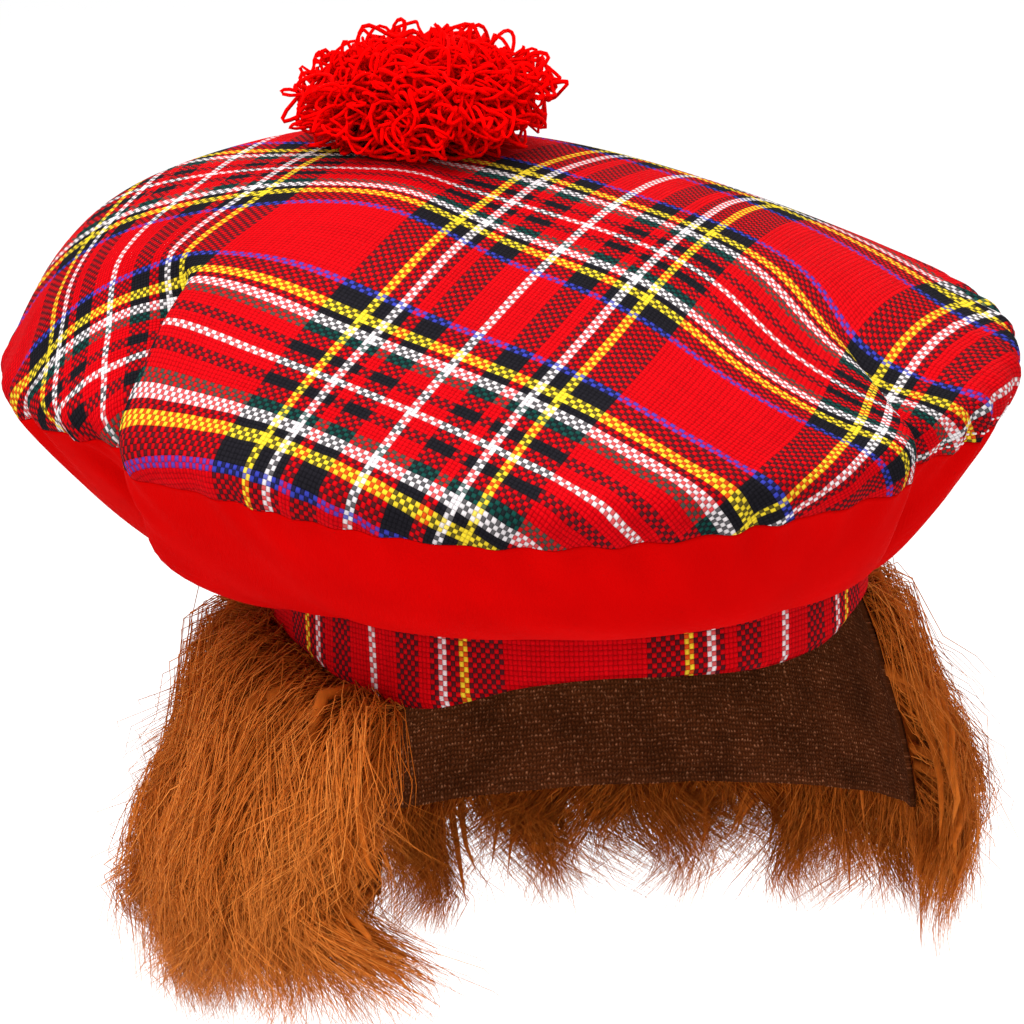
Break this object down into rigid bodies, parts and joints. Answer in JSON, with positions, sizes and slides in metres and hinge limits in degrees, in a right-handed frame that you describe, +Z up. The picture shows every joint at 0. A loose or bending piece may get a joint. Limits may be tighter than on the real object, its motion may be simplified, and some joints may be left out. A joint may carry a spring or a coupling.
{
  "type": "tam o shanter with hair",
  "caption": "Wide slouched tartan tam on a plain red underside and tartan headband, with a red yarn pompom and a panel of long fake fur hanging round the sides and back as hair",
  "frame": {"origin": "Middle of the oval head opening, level with the headband's mean lower edge", "axes": "+Z is up out of the head, the wearer faces -Y, and +X is to the wearer's left"},
  "size_m": [0.2915, 0.294, 0.2833],
  "materials": {
    "tartan": "coarse plain-woven tartan, mostly red",
    "plain_red": "smooth closely woven cloth",
    "tartan_band": "the same tartan, cut across its wide red stripe",
    "knit_backing": "matt brown knitted ground with lighter flecks",
    "ginger_fur": "long soft pile with a slight sheen",
    "red_yarn": "matt crinkled yarn"
  },
  "bodies": {
    "root": {"crown": "tartan", "underside": "plain_red", "headband": "tartan_band", "hair_backing": "knit_backing", "hair_pile": "ginger_fur", "pompom": "red_yarn"}
  },
  "joints": []
}
